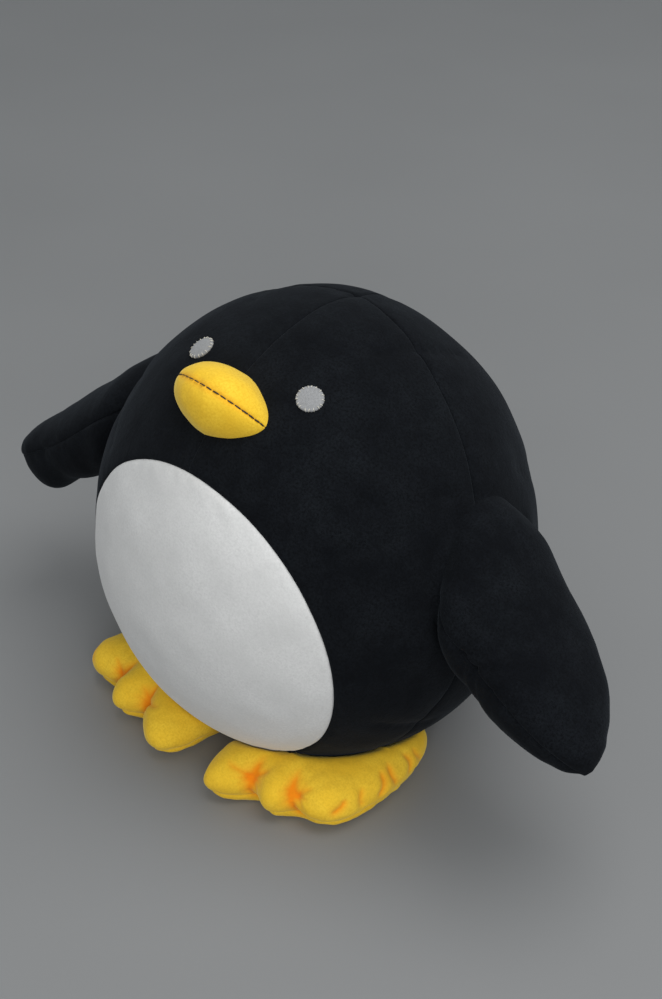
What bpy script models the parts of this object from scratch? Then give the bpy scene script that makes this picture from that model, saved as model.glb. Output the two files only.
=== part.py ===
"""A plush penguin: a round body of sewn panels, two flapping wings and two broad feet.

Every fabric panel is a thin shell, and the stuffing inside is its own solid. The penguin
looks along -Y with +Z up, and its left side is at +X. Lengths are in metres.
"""

import math

import bmesh
import bpy
from mathutils import Matrix, Vector
from mathutils.bvhtree import BVHTree

# Body: an ellipsoid that leans back and sits flat on its seat.
BODY_HALF_WIDTH = 0.150
BODY_HALF_DEPTH = 0.139
BODY_HALF_HEIGHT = 0.156
BODY_LEAN = math.radians(11)
BODY_PEAR = 0.032
BODY_CENTRE = Vector((0.0, 0.002, 0.140))
BODY_COLUMNS, BODY_ROWS = 32, 18
FOOT_SPACE = 0.0105
SEAT_FRONT, SEAT_BACK = 0.016, 0.030
# Behind the feet the bottom sags onto the ground: how far, and the heights between which it stops.
SEAT_SAG, SAG_LOW, SAG_HIGH = 0.014, 0.012, 0.048
BELLY_PLANE, BELLY_TILT = -0.098, math.radians(4.6)
SIDE_SEAM_AZIMUTH, SIDE_SEAM_LEAN = math.radians(82), math.radians(15.5)

# Fabric with its pile, and the gaps that keep neighbours apart.
FABRIC = 0.0025
GAP = 0.0004
SEAM_GAP = 0.0006
LOOSE_GAP = 0.0009
FOOT_FILL_GAP = 0.0010

# Face.
EYE_AZIMUTH, EYE_ELEVATION = math.radians(29.5), math.radians(51)
EYE_RADIUS, EYE_THICKNESS = 0.0089, 0.0015
EYE_STITCHES = 14
BEAK_ELEVATION = math.radians(44)
BEAK_HALF_WIDTH, BEAK_REACH, BEAK_HALF_HEIGHT = 0.0345, 0.0235, 0.0200
BEAK_SINK = 0.004
THREAD_RADIUS = 0.0006

# Wing: where it is hinged, how it is held, and its outline along its length.
WING_HINGE = Vector((0.132, 0.002, 0.1805))
WING_DROOP, WING_SWEEP, WING_TWIST = math.radians(30), math.radians(20), math.radians(12)
WING_LOWER, WING_RAISE = math.radians(15), math.radians(75)
# Each station: distance from the hinge, front edge, rear edge, half thickness.
WING_STATIONS = (
    (-0.050, -0.036, 0.039, 0.0225),
    (0.000, -0.040, 0.042, 0.0235),
    (0.030, -0.043, 0.046, 0.0240),
    (0.060, -0.041, 0.048, 0.0240),
    (0.090, -0.035, 0.043, 0.0220),
    (0.112, -0.027, 0.035, 0.0190),
    (0.130, -0.017, 0.023, 0.0145),
    (0.141, -0.008, 0.012, 0.0090),
    (0.1455, -0.0015, 0.003, 0.0030),
)
WING_UNDERSIDE_FULLNESS = 1.2
WING_SLICES, WING_SIDES = 11, 16

# Foot: a broad pad with three toes, squashed under the body.
FOOT_CENTRE = Vector((0.0610, -0.0540))
FOOT_HALF_WIDTH, FOOT_HALF_LENGTH, FOOT_SQUARENESS = 0.0575, 0.0650, 2.6
FOOT_HEIGHT, FOOT_SEAM_HEIGHT = 0.0390, 0.0200
SOLE_FLAT = 0.75
# Each toe: the direction it points in, seen from above, and how far it sticks out of the pad.
TOES = ((math.radians(-106.5), 0.0225), (math.radians(-81), 0.0070), (math.radians(-55), 0.0055))
TOE_SPREAD = math.radians(9.5)
FOOT_SPOKES, FOOT_RINGS = 36, (1.0, 0.92, SOLE_FLAT, 0.58, 0.35)
FOOT_HINGE = Vector((0.0, -0.0760, 0.0260))
TOE_LIFT = math.radians(20)

BLACK_PLUSH = ("black_plush", (0.0105, 0.0125, 0.0155), 0.95)
WHITE_PLUSH = ("white_plush", (0.80, 0.80, 0.79), 0.95)
YELLOW_PLUSH = ("yellow_plush", (0.87, 0.52, 0.03), 0.9)
GREY_FELT = ("grey_felt", (0.33, 0.33, 0.34), 1.0)
BLACK_THREAD = ("black_thread", (0.02, 0.018, 0.015), 0.7)
CREAM_THREAD = ("cream_thread", (0.65, 0.60, 0.42), 0.7)
STUFFING = ("stuffing", (0.90, 0.90, 0.88), 1.0)


def clear_scene():
    for obj in list(bpy.data.objects):
        bpy.data.objects.remove(obj, do_unlink=True)


def material(kind):
    name, colour, roughness = kind
    found = bpy.data.materials.get(name)
    if found:
        return found
    made = bpy.data.materials.new(name)
    made.use_nodes = True
    shader = made.node_tree.nodes["Principled BSDF"]
    shader.inputs["Base Color"].default_value = (*colour, 1.0)
    shader.inputs["Roughness"].default_value = roughness
    shader.inputs["Metallic"].default_value = 0.0
    return made


def add_object(name, bm, kind=None):
    """Turns a bmesh into an object, placed in the world as it is."""
    bmesh.ops.recalc_face_normals(bm, faces=bm.faces)
    mesh = bpy.data.meshes.new(name)
    bm.to_mesh(mesh)
    bm.free()
    mesh.shade_smooth()
    obj = bpy.data.objects.new(name, mesh)
    bpy.context.scene.collection.objects.link(obj)
    if kind:
        mesh.materials.append(material(kind))
        mesh.set_sharp_from_angle(angle=math.radians(40))
    else:
        obj.hide_render = True
        obj.display_type = "WIRE"
    return obj


def subtract(obj, cutter):
    boolean = obj.modifiers.new(f"less_{cutter.name}", "BOOLEAN")
    boolean.operation = "DIFFERENCE"
    boolean.object = cutter


def keep_side(bm, point, normal):
    """Cuts a closed mesh at a plane, keeps what the normal points to, and caps the cut."""
    geometry = bm.verts[:] + bm.edges[:] + bm.faces[:]
    cut = bmesh.ops.bisect_plane(
        bm, geom=geometry, dist=1e-7, plane_co=point, plane_no=normal, clear_inner=True
    )
    rim = [piece for piece in cut["geom_cut"] if isinstance(piece, bmesh.types.BMEdge)]
    bmesh.ops.edgeloop_fill(bm, edges=rim)


def grid_solid(rings, first_pole, last_pole, turned_bands=0):
    """A closed mesh from rings of points, with a single point at each end.

    The first turned_bands have their diagonals the other way, so that nested surfaces whose
    rings run in opposite orders still fold along the same lines.
    """
    bm = bmesh.new()
    loops = [[bm.verts.new(point) for point in ring] for ring in rings]
    count = len(loops[0])
    for band, (near, far) in enumerate(zip(loops, loops[1:])):
        for i in range(count):
            j = (i + 1) % count
            if band < turned_bands:
                bm.faces.new((near[i], near[j], far[i]))
                bm.faces.new((near[j], far[j], far[i]))
            else:
                bm.faces.new((near[i], near[j], far[j]))
                bm.faces.new((near[i], far[j], far[i]))
    for loop, pole in ((loops[0], first_pole), (loops[-1], last_pole)):
        tip = bm.verts.new(pole)
        for i in range(count):
            bm.faces.new((loop[i], loop[(i + 1) % count], tip))
    bmesh.ops.recalc_face_normals(bm, faces=bm.faces)
    return bm


# ---------------------------------------------------------------- body


def smooth_step(low, high, value):
    t = min(1.0, max(0.0, (value - low) / (high - low)))
    return t * t * (3 - 2 * t)


def seat_height(y):
    """The underside is flat on the ground behind, and a foot's thickness above it in front."""
    return FOOT_SPACE * (1 - smooth_step(SEAT_FRONT, SEAT_BACK, y))


def lean_point(x, y, z):
    turned = Matrix.Rotation(-BODY_LEAN, 3, "X") @ Vector((x, y, z))
    return BODY_CENTRE + turned


def body_point(azimuth, elevation, inset=0.0):
    """A point of the body's skin: azimuth 0 is the front, elevation 90 degrees is the crown."""
    up = math.sin(elevation)
    out = math.cos(elevation) * (1 - BODY_PEAR * up)
    sideways, forward = out * math.sin(azimuth), -out * math.cos(azimuth)
    half_sizes = (BODY_HALF_WIDTH, BODY_HALF_DEPTH, BODY_HALF_HEIGHT)
    unit = (sideways, forward, up)
    skin = lean_point(*(half * part for half, part in zip(half_sizes, unit)))
    point = lean_point(*((half - inset) * part for half, part in zip(half_sizes, unit)))
    behind = smooth_step(SEAT_FRONT, SEAT_BACK, skin.y)
    point.z -= SEAT_SAG * behind * (1 - smooth_step(SAG_LOW, SAG_HIGH, skin.z))
    point.z = max(point.z, seat_height(skin.y) + inset)
    return point


def body_normal(azimuth, elevation):
    step = 1e-3
    here = body_point(azimuth, elevation)
    across = body_point(azimuth + step, elevation) - here
    upward = body_point(azimuth, elevation + step) - here
    return across.cross(upward).normalized()


def body_form(inset=0.0):
    rings = []
    for row in range(1, BODY_ROWS):
        elevation = math.pi * row / BODY_ROWS - math.pi / 2
        ring = [
            body_point(math.tau * column / BODY_COLUMNS, elevation, inset)
            for column in range(BODY_COLUMNS)
        ]
        rings.append(ring)
    bottom = body_point(0.0, -math.pi / 2, inset)
    crown = body_point(0.0, math.pi / 2, inset)
    return grid_solid(rings, bottom, crown)


def headroom(ceilings, x, y):
    """How high a limb may reach above the ground at a place, under every one of the surfaces."""
    below, upward = Vector((x, y, -BODY_HALF_HEIGHT)), Vector((0.0, 0.0, 1.0))
    hits = [ceiling.ray_cast(below, upward)[0] for ceiling in ceilings]
    return min([hit.z for hit in hits if hit], default=BODY_CENTRE.z)


def make_body(inner):
    belly_point = Vector((0.0, BELLY_PLANE, BODY_CENTRE.z))
    forward = Vector((0.0, -math.cos(BELLY_TILT), -math.sin(BELLY_TILT)))
    seam_turn = Matrix.Rotation(-SIDE_SEAM_LEAN, 3, "X")
    for side, name in ((1, "left"), (-1, "right")):
        outward = Vector((side, 0.0, 0.0))
        seam_out = Vector((side * math.cos(SIDE_SEAM_AZIMUTH), math.sin(SIDE_SEAM_AZIMUTH), 0.0))
        backward = seam_turn @ seam_out
        front = body_form()
        keep_side(front, outward * SEAM_GAP / 2, outward)
        keep_side(front, BODY_CENTRE - backward * SEAM_GAP / 2, -backward)
        keep_side(front, belly_point - forward * SEAM_GAP / 2, -forward)
        subtract(add_object(f"body_front_{name}_panel", front, BLACK_PLUSH), inner)
        back = body_form()
        keep_side(back, outward * SEAM_GAP / 2, outward)
        keep_side(back, BODY_CENTRE + backward * SEAM_GAP / 2, backward)
        subtract(add_object(f"body_back_{name}_panel", back, BLACK_PLUSH), inner)
    belly = body_form()
    keep_side(belly, belly_point + forward * SEAM_GAP / 2, forward)
    subtract(add_object("belly_panel", belly, WHITE_PLUSH), inner)
    add_object("body_stuffing", body_form(FABRIC + LOOSE_GAP), STUFFING)


# ---------------------------------------------------------------- face


def surface_frame(azimuth, elevation):
    """Axes at a place on the skin: sideways, upward along the skin, and outward."""
    outward = body_normal(azimuth, elevation)
    sideways = Vector((0.0, 0.0, 1.0)).cross(outward).normalized()
    upward = outward.cross(sideways)
    return body_point(azimuth, elevation), sideways, upward, outward


def make_eye(side, name):
    centre, sideways, upward, outward = surface_frame(side * EYE_AZIMUTH, EYE_ELEVATION)
    turned = Matrix((sideways, upward, outward)).transposed().to_4x4()
    bottom = GAP
    disc = bmesh.new()
    middle = bottom + EYE_THICKNESS / 2
    bmesh.ops.create_cone(
        disc, segments=32, cap_ends=True, radius1=EYE_RADIUS, radius2=EYE_RADIUS,
        depth=EYE_THICKNESS,
        matrix=Matrix.Translation(centre) @ turned @ Matrix.Translation((0, 0, middle)),
    )
    add_object(f"eye_{name}_felt", disc, GREY_FELT)

    # One thread goes round the edge, over the felt and down beside it.
    top = bottom + EYE_THICKNESS
    profile = (
        (EYE_RADIUS - 0.0014, top + 0.0007),
        (EYE_RADIUS + 0.0007, top + 0.0006),
        (EYE_RADIUS + 0.0011, bottom + 0.0007),
        (EYE_RADIUS + 0.0007, top + 0.0006),
    )
    points = []
    for stitch in range(EYE_STITCHES):
        for step, (radius, height) in enumerate(profile):
            angle = math.tau * (stitch + step / len(profile)) / EYE_STITCHES
            flat = sideways * math.cos(angle) + upward * math.sin(angle)
            points.append(centre + flat * radius + outward * height)
    add_thread(f"eye_{name}_stitching", points, CREAM_THREAD, 0.0003, 0, cyclic=True)


def add_thread(name, points, kind, radius, resolution, cyclic=False):
    curve = bpy.data.curves.new(name, "CURVE")
    curve.dimensions = "3D"
    curve.bevel_depth = radius
    curve.bevel_resolution = resolution
    curve.use_fill_caps = not cyclic
    spline = curve.splines.new("POLY")
    spline.points.add(len(points) - 1)
    for slot, point in zip(spline.points, points):
        slot.co = (*point, 1.0)
    spline.use_cyclic_u = cyclic
    curve.materials.append(material(kind))
    obj = bpy.data.objects.new(name, curve)
    bpy.context.scene.collection.objects.link(obj)
    return obj


def beak_point(along, around, inset=0.0):
    """A point of the beak: along from corner to corner, around from its top to its underside."""
    centre, sideways, upward, outward = surface_frame(0.0, BEAK_ELEVATION)
    fullness = math.sin(along) ** 0.8
    half_width = BEAK_HALF_WIDTH - 1.5 * inset
    reach = (BEAK_REACH + BEAK_SINK - inset) * fullness
    half_height = (BEAK_HALF_HEIGHT - inset) * fullness
    return (
        centre
        - outward * BEAK_SINK
        - sideways * half_width * math.cos(along)
        + outward * reach * math.cos(around)
        + upward * half_height * math.sin(around)
    )


def beak_form(inset=0.0):
    slices, sides = 14, 20
    rings = []
    for step in range(1, slices):
        along = math.pi * step / slices
        rings.append(
            [beak_point(along, math.tau * turn / sides, inset) for turn in range(sides)]
        )
    return grid_solid(rings, beak_point(0.0, 0.0, inset), beak_point(math.pi, 0.0, inset))


def make_beak(skin):
    centre, _, upward, _ = surface_frame(0.0, BEAK_ELEVATION)
    hollow = add_object("beak_hollow", beak_form(FABRIC))
    for name, side in (("upper", upward), ("lower", -upward)):
        half = beak_form()
        keep_side(half, centre + side * SEAM_GAP / 2, side)
        panel = add_object(f"beak_{name}_panel", half, YELLOW_PLUSH)
        subtract(panel, hollow)
        subtract(panel, skin)
    filling = add_object("beak_stuffing", beak_form(FABRIC + GAP), STUFFING)
    subtract(filling, skin)
    steps = 24
    start, end = math.radians(24), math.radians(156)
    line = [beak_point(start + (end - start) * i / steps, 0.0, -0.0012) for i in range(steps + 1)]
    add_thread("beak_mouth_thread", line, BLACK_THREAD, THREAD_RADIUS, 1)


# ---------------------------------------------------------------- wings


def wing_station(distance):
    """The wing's front edge, rear edge and half thickness at a distance from its hinge."""
    for (s0, *low), (s1, *high) in zip(WING_STATIONS, WING_STATIONS[1:]):
        if distance <= s1:
            t = (distance - s0) / (s1 - s0)
            return [a + (b - a) * t for a, b in zip(low, high)]
    return list(WING_STATIONS[-1][1:])


def wing_axes(side):
    """The wing's hinge, and its directions outward, rearward and up."""
    cos_sweep, sin_sweep = math.cos(WING_SWEEP), math.sin(WING_SWEEP)
    cos_droop, sin_droop = math.cos(WING_DROOP), math.sin(WING_DROOP)
    along = Vector((side * cos_sweep * cos_droop, -sin_sweep * cos_droop, -sin_droop))
    rearward = Vector((side * sin_sweep, cos_sweep, 0.0))
    twist = Matrix.Rotation(-side * WING_TWIST, 3, along)
    rearward = twist @ rearward
    upward = along.cross(rearward) * side
    hinge = Vector((side * WING_HINGE.x, WING_HINGE.y, WING_HINGE.z))
    return hinge, along, rearward, upward


def wing_form(side, inset=0.0):
    hinge, along, rearward, upward = wing_axes(side)
    first, last = WING_STATIONS[0][0], WING_STATIONS[-1][0] - inset
    rings = []
    for step in range(WING_SLICES + 1):
        # The slices crowd towards the tip, where the outline turns.
        distance = first + (last - first) * math.sin(math.pi / 2 * step / WING_SLICES)
        front, rear, half = wing_station(distance)
        middle, half_width = (front + rear) / 2, (rear - front) / 2 - inset
        half_thickness = max(half - inset, 0.0008)
        ring = []
        for turn in range(WING_SIDES):
            angle = math.tau * turn / WING_SIDES
            sideways = middle + max(half_width, 0.001) * math.cos(angle)
            rise = half_thickness * math.sin(angle)
            if rise < 0:
                rise *= WING_UNDERSIDE_FULLNESS
            ring.append(hinge + along * distance + rearward * sideways + upward * rise)
        rings.append(ring)
    middle = sum(WING_STATIONS[0][1:3]) / 2
    root = hinge + along * (first - 0.002) + rearward * middle
    middle = sum(WING_STATIONS[-1][1:3]) / 2
    tip = hinge + along * (last + 0.001) + rearward * middle
    return grid_solid(rings, root, tip)


def turned_body(hinge, axis, angle):
    """The body's skin as a limb sees it once the limb has turned the other way."""
    bm = body_form(-GAP)
    bmesh.ops.rotate(bm, verts=bm.verts, cent=hinge, matrix=Matrix.Rotation(angle, 3, axis))
    return bm


def make_wing(side, name, skin):
    hinge, _, _, upward = wing_axes(side)
    hollow = add_object(f"wing_{name}_hollow", wing_form(side, FABRIC))
    for half_name, way in (("upper", upward), ("lower", -upward)):
        half = wing_form(side)
        keep_side(half, hinge + way * SEAM_GAP / 2, way)
        panel = add_object(f"wing_{name}_{half_name}_panel", half, BLACK_PLUSH)
        subtract(panel, hollow)
        subtract(panel, skin)
    # The stuffing stops short of the seam, clear of the body all the way down and up.
    filling = add_object(f"wing_{name}_stuffing", wing_form(side, FABRIC + GAP), STUFFING)
    flap_axis = Vector((0.0, -side, 0.0))
    subtract(filling, skin)
    for way, angle in (("down", WING_LOWER), ("up", -WING_RAISE)):
        room = turned_body(hinge, flap_axis, angle)
        subtract(filling, add_object(f"wing_{name}_{way}_room", room))


# ---------------------------------------------------------------- feet


def foot_reach(angle):
    """The foot's outline from its centre: a rounded square with three toes on its front."""
    p = FOOT_SQUARENESS
    across = abs(math.cos(angle) / FOOT_HALF_WIDTH) ** p
    along = abs(math.sin(angle) / FOOT_HALF_LENGTH) ** p
    reach = (across + along) ** (-1 / p)
    for direction, bump in TOES:
        off = math.remainder(angle - direction, math.tau) / TOE_SPREAD
        reach += bump * math.exp(-off * off)
    return reach


def foot_profile(ceilings, side, fraction, angle, insets, lip):
    """Plan position and the top and bottom heights at a fraction of the way to the outline.

    The insets are how far the surface lies inside the foot's skin at its edge and at its faces.
    """
    edge_inset, face_inset = insets
    direction = Vector((math.cos(angle), math.sin(angle)))
    reach = foot_reach(angle) - edge_inset
    edge = FOOT_CENTRE + direction * reach
    place = FOOT_CENTRE + direction * reach * fraction
    seam = min(FOOT_SEAM_HEIGHT, (headroom(ceilings[:1], edge.x, edge.y) - LOOSE_GAP) / 2)
    dome = math.sqrt(max(0.0, 1 - fraction**2.6))
    top = seam + lip + (FOOT_HEIGHT - face_inset - seam - lip) * dome
    top = min(top, headroom(ceilings, place.x, place.y) - LOOSE_GAP - face_inset)
    under = max(0.0, (fraction - SOLE_FLAT) / (1 - SOLE_FLAT))
    bottom = seam - lip - (seam - lip - face_inset) * math.sqrt(max(0.0, 1 - under * under))
    return Vector((side * place.x, place.y, top)), Vector((side * place.x, place.y, bottom))


def foot_surface(ceilings, side, insets, lip, part):
    """Rings of the top (part 0) or the sole (part 1), from the rim inwards, and the centre."""
    rings = []
    for fraction in FOOT_RINGS:
        ring = []
        for spoke in range(FOOT_SPOKES):
            angle = math.tau * spoke / FOOT_SPOKES
            ring.append(foot_profile(ceilings, side, fraction, angle, insets, lip)[part])
        rings.append(ring)
    return rings, foot_profile(ceilings, side, 0.0, 0.0, insets, lip)[part]


def make_foot(side, name, skin, underside):
    lip = SEAM_GAP / 2
    for part, part_name in ((0, "top"), (1, "sole")):
        outer, outer_pole = foot_surface([underside], side, (0.0, 0.0), lip, part)
        inner, inner_pole = foot_surface([underside], side, (FABRIC, FABRIC), lip, part)
        shell = grid_solid(outer[::-1] + inner, outer_pole, inner_pole)
        subtract(add_object(f"foot_{name}_{part_name}_panel", shell, YELLOW_PLUSH), skin)
    # The stuffing stays clear of the body with the toes down and with them up.
    lifted = BVHTree.FromBMesh(turned_body(FOOT_HINGE, Vector((-1.0, 0.0, 0.0)), -TOE_LIFT))
    ceilings = [underside, lifted]
    insets = (FABRIC, FABRIC + FOOT_FILL_GAP)
    upper, upper_pole = foot_surface(ceilings, side, insets, 0.0, 0)
    lower, lower_pole = foot_surface(ceilings, side, insets, 0.0, 1)
    rings = upper[::-1] + lower[1:]
    filling = grid_solid(rings, upper_pole, lower_pole, turned_bands=len(upper) - 1)
    add_object(f"foot_{name}_stuffing", filling, STUFFING)


def main():
    clear_scene()
    inner = add_object("body_hollow", body_form(FABRIC))
    skin_form = body_form(-GAP)
    underside = BVHTree.FromBMesh(skin_form)
    skin = add_object("body_skin", skin_form)
    make_body(inner)
    make_beak(skin)
    for side, name in ((1, "left"), (-1, "right")):
        make_eye(side, name)
        make_wing(side, name, skin)
        make_foot(side, name, skin, underside)


main()
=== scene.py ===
import math

import bmesh
import bpy
import numpy as np
from mathutils import Matrix, Vector
from mathutils.bvhtree import BVHTree


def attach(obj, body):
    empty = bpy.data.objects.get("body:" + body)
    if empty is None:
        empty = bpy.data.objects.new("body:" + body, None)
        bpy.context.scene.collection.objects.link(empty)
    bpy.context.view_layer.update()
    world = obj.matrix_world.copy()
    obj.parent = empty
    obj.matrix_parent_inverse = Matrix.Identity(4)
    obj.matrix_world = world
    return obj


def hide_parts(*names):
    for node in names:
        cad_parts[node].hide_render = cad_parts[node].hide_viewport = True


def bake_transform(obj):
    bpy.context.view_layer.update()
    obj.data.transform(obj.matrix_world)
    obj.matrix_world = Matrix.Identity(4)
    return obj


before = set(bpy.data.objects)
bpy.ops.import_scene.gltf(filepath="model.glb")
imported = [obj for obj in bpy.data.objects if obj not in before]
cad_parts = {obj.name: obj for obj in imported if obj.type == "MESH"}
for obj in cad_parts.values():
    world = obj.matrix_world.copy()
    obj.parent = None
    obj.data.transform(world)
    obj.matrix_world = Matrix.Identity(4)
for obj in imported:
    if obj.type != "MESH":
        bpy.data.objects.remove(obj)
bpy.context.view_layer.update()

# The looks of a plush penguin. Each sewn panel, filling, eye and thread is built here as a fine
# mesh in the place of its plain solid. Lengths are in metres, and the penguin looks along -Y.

MM = 0.001
SIDES = ((1, "left"), (-1, "right"))

# The body's form, as in the solids.
BODY_HALVES = np.array((0.150, 0.139, 0.156))
BODY_LEAN = math.radians(11)
BODY_PEAR = 0.032
BODY_CENTRE = np.array((0.0, 0.002, 0.140))
FOOT_SPACE = 0.0105
SEAT_FRONT, SEAT_BACK = 0.016, 0.030
SEAT_SAG, SAG_LOW, SAG_HIGH = 0.014, 0.012, 0.048
BELLY_PLANE, BELLY_TILT = -0.098, math.radians(4.6)
SIDE_SEAM_AZIMUTH, SIDE_SEAM_LEAN = math.radians(82), math.radians(15.5)
BODY_COLUMNS, BODY_ROWS = 300, 150

# How thick the fabric is, and how far inside the skin each filling starts.
BLACK_FABRIC, YELLOW_FABRIC = 0.0018, 0.0014
BODY_FILL_INSET, BEAK_FILL_INSET, LIMB_FILL_INSET = 0.0066, 0.0032, 0.0075

# How far each seam of the body pulls in, and how far the loops of edges beside it are, both in
# millimetres.
SEAM_DEPTHS = {"middle": 0.75, "belly": 1.5, "left": 1.25, "right": 1.25}
LOOPS = (-7, -4.5, -2.8, -1.6, -0.7, 0, 0.7, 1.6, 2.8, 4.5, 7)
# Darts, from (azimuth, elevation) to (azimuth, elevation) in degrees, each ending at the side seam
# or the wing: above the wing on both panels, and on the front panel beside and below the wing.
DARTS = (
    ((50.0, 64.5), (98.0, 65.0)),
    ((44.0, 28.0), (76.0, 30.0)),
    ((56.0, -25.0), (83.0, -33.0)),
    ((130.0, 56.0), (101.0, 64.0)),
    ((132.0, -20.0), (100.0, -28.0)),
)

EYE_AZIMUTH, EYE_ELEVATION = math.radians(29.5), math.radians(51)
EYE_RADIUS, EYE_THICKNESS = 0.0082, 0.0014
EYE_STITCHES, EYE_THREAD_RADIUS = 17, 0.0002
BEAK_ELEVATION, BEAK_TILT = math.radians(43.7), math.radians(2.5)
BEAK_HALF_WIDTH, BEAK_REACH, BEAK_HALF_HEIGHT = 0.0365, 0.0240, 0.0212
BEAK_SINK, BEAK_POINT, BEAK_OFFSET = 0.004, 1.25, -0.0022
# Each panel of the beak reaches this far round from the mouth, in under the skin of the head.
BEAK_WRAP = 0.80 * math.pi
MOUTH_START, MOUTH_END = math.radians(15), math.radians(170)
MOUTH_STITCHES, MOUTH_THREAD_RADII = 19, (0.27, 0.48)

WING_HINGE = np.array((0.132, 0.002, 0.1805))
WING_DROOP, WING_SWEEP, WING_TWIST = math.radians(30), math.radians(20), math.radians(12)
# Each station: distance from the hinge, front edge, rear edge, height above and depth below.
WING_STATIONS = np.array((
    (-0.050, -0.036, 0.039, 0.0290, 0.0280),
    (0.000, -0.040, 0.042, 0.0310, 0.0295),
    (0.030, -0.043, 0.046, 0.0290, 0.0320),
    (0.060, -0.041, 0.048, 0.0250, 0.0340),
    (0.090, -0.035, 0.043, 0.0220, 0.0340),
    (0.112, -0.027, 0.035, 0.0190, 0.0290),
    (0.130, -0.017, 0.023, 0.0145, 0.0210),
    (0.141, -0.008, 0.012, 0.0090, 0.0115),
    (0.1455, -0.0015, 0.003, 0.0030, 0.0035),
))
UNDERSIDE_SQUARENESS = 0.80
# The wings differ: how much fuller the tip is below and in front, and how much higher the seam is
# at the root.
TIP_FULLNESS = {1: -0.0035, -1: 0.0120}
TIP_BREADTH = {1: 0.0, -1: 0.0085}
SEAM_LIFT = {1: -0.004, -1: 0.008}
# Folds at each wing's front edge: the distance from the hinge, and the depth in millimetres.
WING_WRINKLES = {1: ((0.058, 2.2), (0.068, 2.8), (0.083, 1.1)), -1: ((0.075, 0.6), (0.105, 0.5))}
# Distances from the hinge: where the skin starts inside the body, where the filling starts and how
# far short of the tip it ends, and two places kept as the wing's bend, though nothing bends it.
WING_ROOT, WING_FILL_START, WING_FILL_END_GAP = -0.040, 0.034, 0.008
WING_BEND = (-0.012, 0.066)

FOOT_CENTRE = np.array((0.0610, -0.0540))
FOOT_HALF_WIDTH, FOOT_FRONT_LENGTH, FOOT_BACK_LENGTH = 0.0575, 0.0600, 0.0650
FOOT_FRONT_SQUARENESS, FOOT_BACK_SQUARENESS, FOOT_DOME_SQUARENESS = 2.15, 2.7, 2.6
FOOT_HEIGHT, FOOT_WIDEST_HEIGHT, FOOT_SEAM_HEIGHT = 0.0390, 0.0165, 0.0095
FOOT_TUCK = math.radians(108)
# Toes of each foot: the direction, how far it stands out, and its spread to the inside and outside.
TOES = {
    1: ((-114, 0.0260, 15, 13), (-82, 0.0060, 9, 9), (-47, 0.0050, 12, 20)),
    -1: ((-117, 0.0250, 24, 14), (-80, 0.0080, 10, 10), (-40, 0.0160, 14, 18)),
}
TOE_PUFFINESS = {1: (-0.6 * MM, 2.6 * MM, 2.6 * MM), -1: (2.2 * MM, 2.6 * MM, 2.2 * MM)}
TOE_GAPS = {1: (-98.5, -66), -1: (-99, -61)}
# The dimple between two toes: its share of the way from the foot's middle to the seam, its depth and
# its width. Then the deepest that thread draws the skin in anywhere.
DIMPLE_AT, DIMPLE_DEPTH, DIMPLE_WIDTH = 0.66, 0.0026, 0.0036
DEEPEST_PULL = 0.0075
FOOT_BEND = (-0.060, -0.096)

FLOOR_SIZE = 60.0
WORLD_COLOUR, WORLD_STRENGTH = (0.93, 0.97, 1.0, 1.0), 0.42
# Each light, seen along the camera's view: how far to the right of the toy, beyond it and above its
# middle the light is, then its size and its watts.
LIGHTS = {
    "key_softbox": (0.6, -0.1, 2.2, 2.2, 34.0),
    "fill_softbox": (0.1, -1.8, 0.9, 1.4, 17.0),
}
TOY_MIDDLE = Vector((0.0, 0.0, 0.1))
# The camera's direction from the toy, and its place from the body's centre along its own axes.
CAMERA_AZIMUTH, CAMERA_ELEVATION = math.radians(43.05), math.radians(34.83)
CAMERA_ROLL, CAMERA_LENS = math.radians(-0.53), 54.05
CAMERA_RIGHT, CAMERA_UP, CAMERA_BACK = 0.0106, 0.0135, 0.990


# ---------------------------------------------------------------- shared shapes


def smooth_step(low, high, value):
    t = np.clip((value - low) / (high - low), 0, 1)
    return t * t * (3 - 2 * t)


def bump(distance, width):
    """1 at a distance of 0, falling smoothly to nothing over about twice the width."""
    return np.exp(-((distance / width) ** 2))


def crease(distance, width):
    """1 at a distance of 0, with a sharp bottom like that of a sewn seam."""
    return np.exp(-np.abs(distance) / width)


def ripple(points, wavelength, seed, stretch=(1, 1, 1)):
    """Smooth random hills of about that wavelength, mostly between -1 and 1."""
    rng = np.random.default_rng(seed)
    waves = 14
    directions = rng.normal(size=(waves, 3))
    directions /= np.linalg.norm(directions, axis=1)[:, None]
    lengths = wavelength * rng.uniform(0.75, 1.6, waves)
    phases = rng.uniform(0, math.tau, waves)
    turns = (points * np.array(stretch)) @ (directions * math.tau / lengths[:, None]).T + phases
    return np.sin(turns).sum(axis=1) / math.sqrt(waves)


def through(stations, values, at):
    """A smooth curve through the values at the stations, read at some places."""
    slopes = np.gradient(values, stations)
    span = np.clip(np.searchsorted(stations, at) - 1, 0, len(stations) - 2)
    width = stations[span + 1] - stations[span]
    t = np.clip((at - stations[span]) / width, 0, 1)
    start = values[span] * (1 + 2 * t) * (1 - t) ** 2 + slopes[span] * width * t * (1 - t) ** 2
    end = values[span + 1] * t**2 * (3 - 2 * t) + slopes[span + 1] * width * t**2 * (t - 1)
    return start + end


def turn_x(points, angle):
    cos, sin = math.cos(angle), math.sin(angle)
    x, y, z = points[..., 0], points[..., 1], points[..., 2]
    return np.stack((x, y * cos - z * sin, y * sin + z * cos), axis=-1)


def new_object(name, points, faces, smooth=True):
    mesh = bpy.data.meshes.new(name)
    mesh.from_pydata(np.asarray(points).tolist(), [], faces)
    mesh.validate()
    if smooth:
        mesh.shade_smooth()
    obj = bpy.data.objects.new(name, mesh)
    bpy.context.scene.collection.objects.link(obj)
    return obj


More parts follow.
